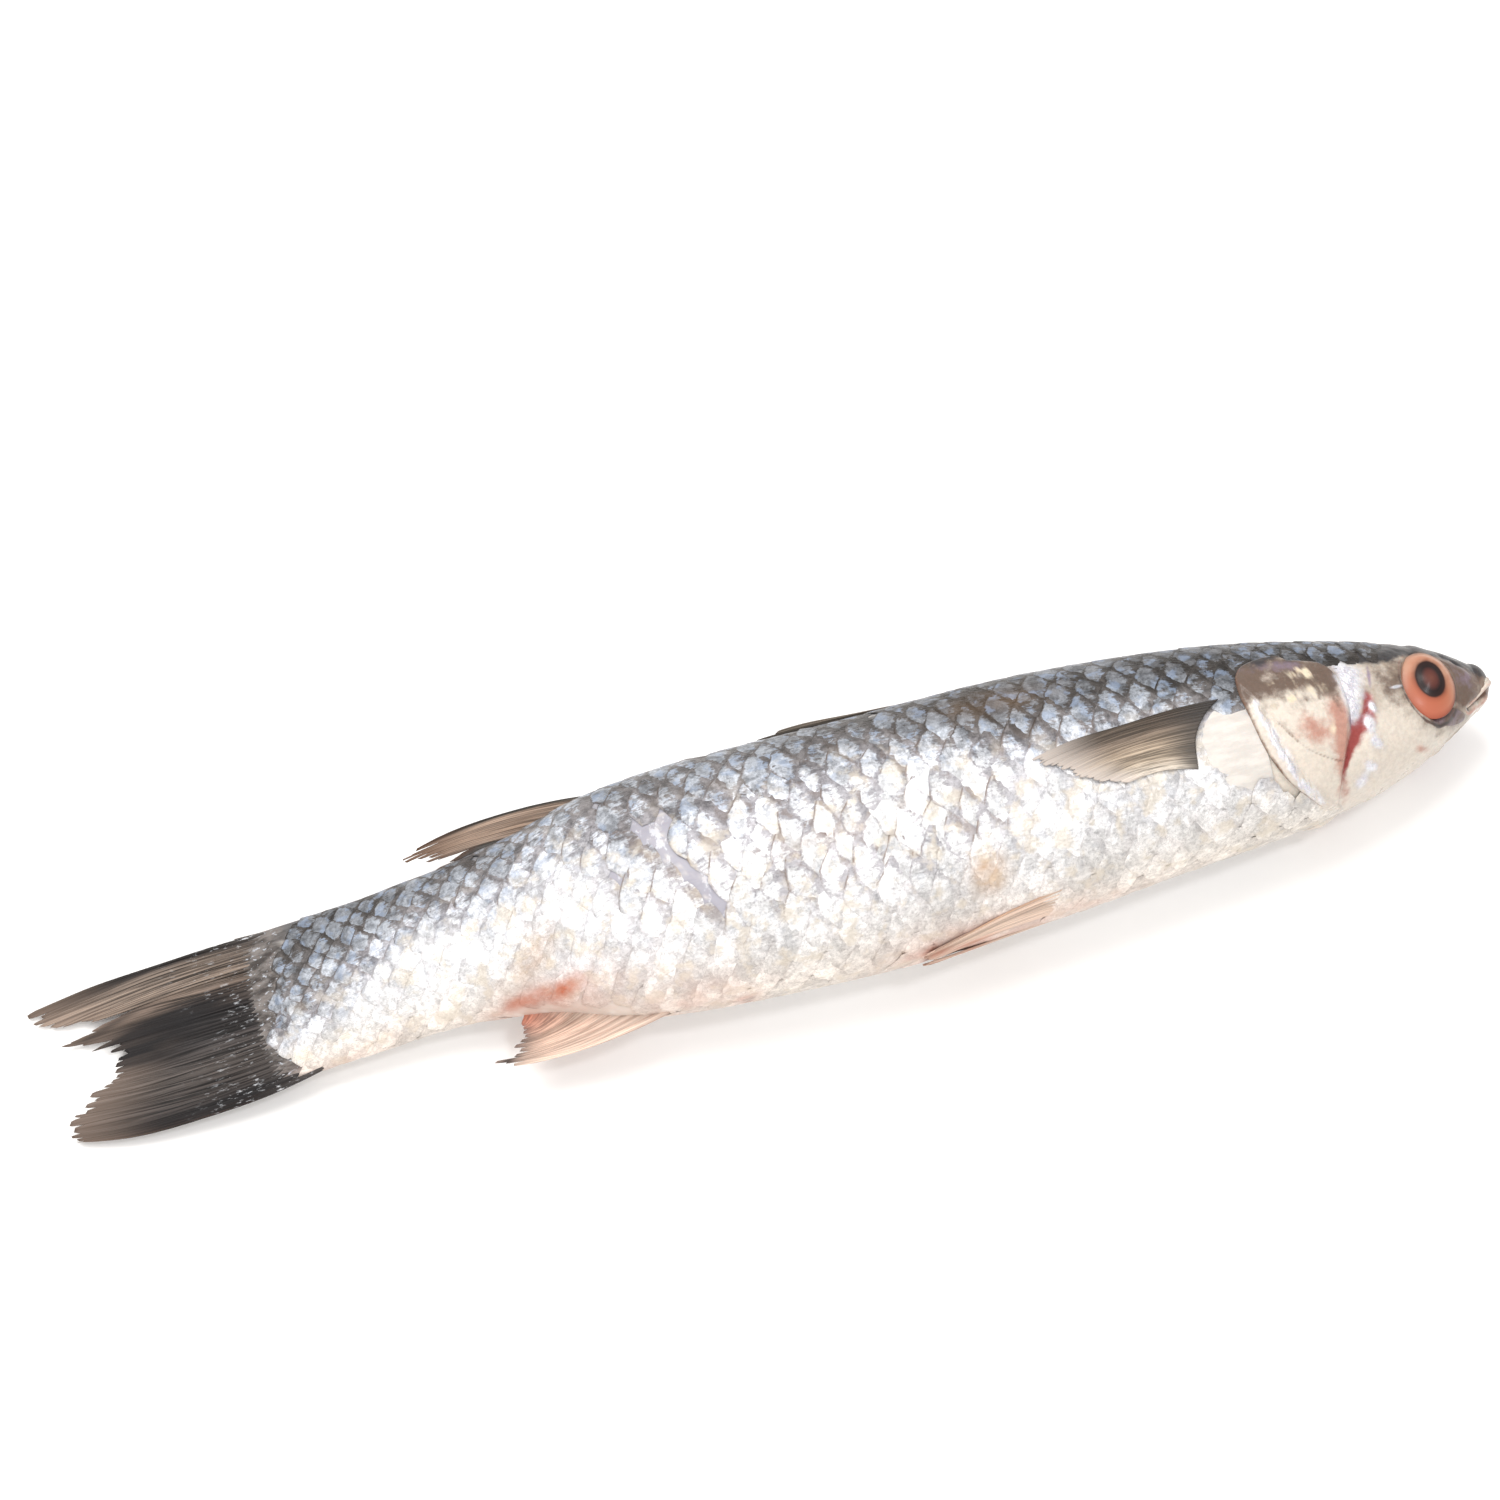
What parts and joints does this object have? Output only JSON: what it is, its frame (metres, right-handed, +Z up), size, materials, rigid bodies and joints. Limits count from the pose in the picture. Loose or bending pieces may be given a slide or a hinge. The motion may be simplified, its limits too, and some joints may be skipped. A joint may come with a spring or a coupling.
{
  "type": "whole raw fish",
  "caption": "Whole raw grey mullet lying on its left side, with separate gill covers, eyes, paired fins, midline fins and a forked tail fin.",
  "frame": {"origin": "bottom centre of the whole fish, on the surface that it lies on", "axes": "+X from the tail to the snout, +Y towards the back, +Z up through the right flank"},
  "size_m": [0.3, 0.0526, 0.038],
  "materials": {
    "skin": "wet scales, silvery with a dark back and a cream belly",
    "gill_cover": "wet and shiny, golden brown to silver",
    "eye": "clear and glossy, orange iris and dark pupil",
    "dark_fin": "thin and damp, charcoal to beige rays",
    "pale_fin": "thin and damp, pale pink rays"
  },
  "bodies": {
    "root": {"body": "skin", "right_gill_cover": "gill_cover", "left_gill_cover": "gill_cover", "right_eye": "eye", "left_eye": "eye", "right_pectoral_fin": "dark_fin", "left_pectoral_fin": "dark_fin", "right_pelvic_fin": "pale_fin", "left_pelvic_fin": "pale_fin", "spiny_dorsal_fin": "dark_fin", "soft_dorsal_fin": "dark_fin", "anal_fin": "pale_fin", "tail_fin": "dark_fin"}
  },
  "joints": []
}
